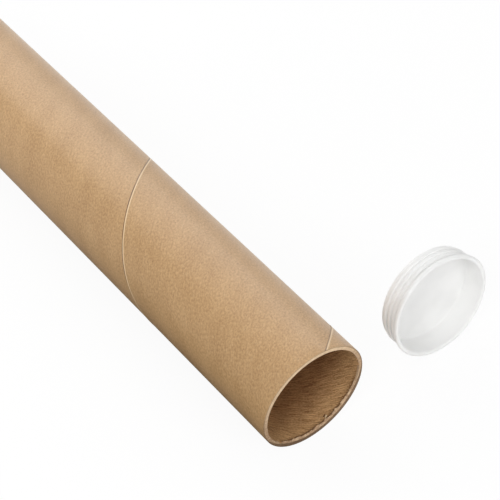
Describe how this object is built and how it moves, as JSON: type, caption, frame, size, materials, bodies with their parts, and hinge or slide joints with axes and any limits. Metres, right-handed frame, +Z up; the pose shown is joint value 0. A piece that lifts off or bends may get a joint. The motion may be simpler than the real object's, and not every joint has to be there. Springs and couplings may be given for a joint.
{
  "type": "mailing tube",
  "caption": "Spiral-wound kraft paper tube for posting rolled sheets, with ribbed push-in plastic end plugs, one seated and one standing loose beside the open mouth.",
  "frame": {"origin": "on the tube's axis, in the plane of the open mouth", "axes": "+X out of the open mouth along the tube's axis, +Z up, +Y towards the side where the loose plug stands"},
  "size_m": [0.3063, 0.1331, 0.0548],
  "materials": {
    "wound_card": "matte",
    "white_plastic": "satin"
  },
  "bodies": {
    "tube": {"tube": "wound_card", "near_plug": "white_plastic"},
    "far_plug": {"far_plug": "white_plastic"}
  },
  "joints": [
    {"name": "far_plug_pull", "type": "slide", "parent": "tube", "child": "far_plug", "axis": [-1, 0, 0], "range_m": [0, 0.03]}
  ]
}
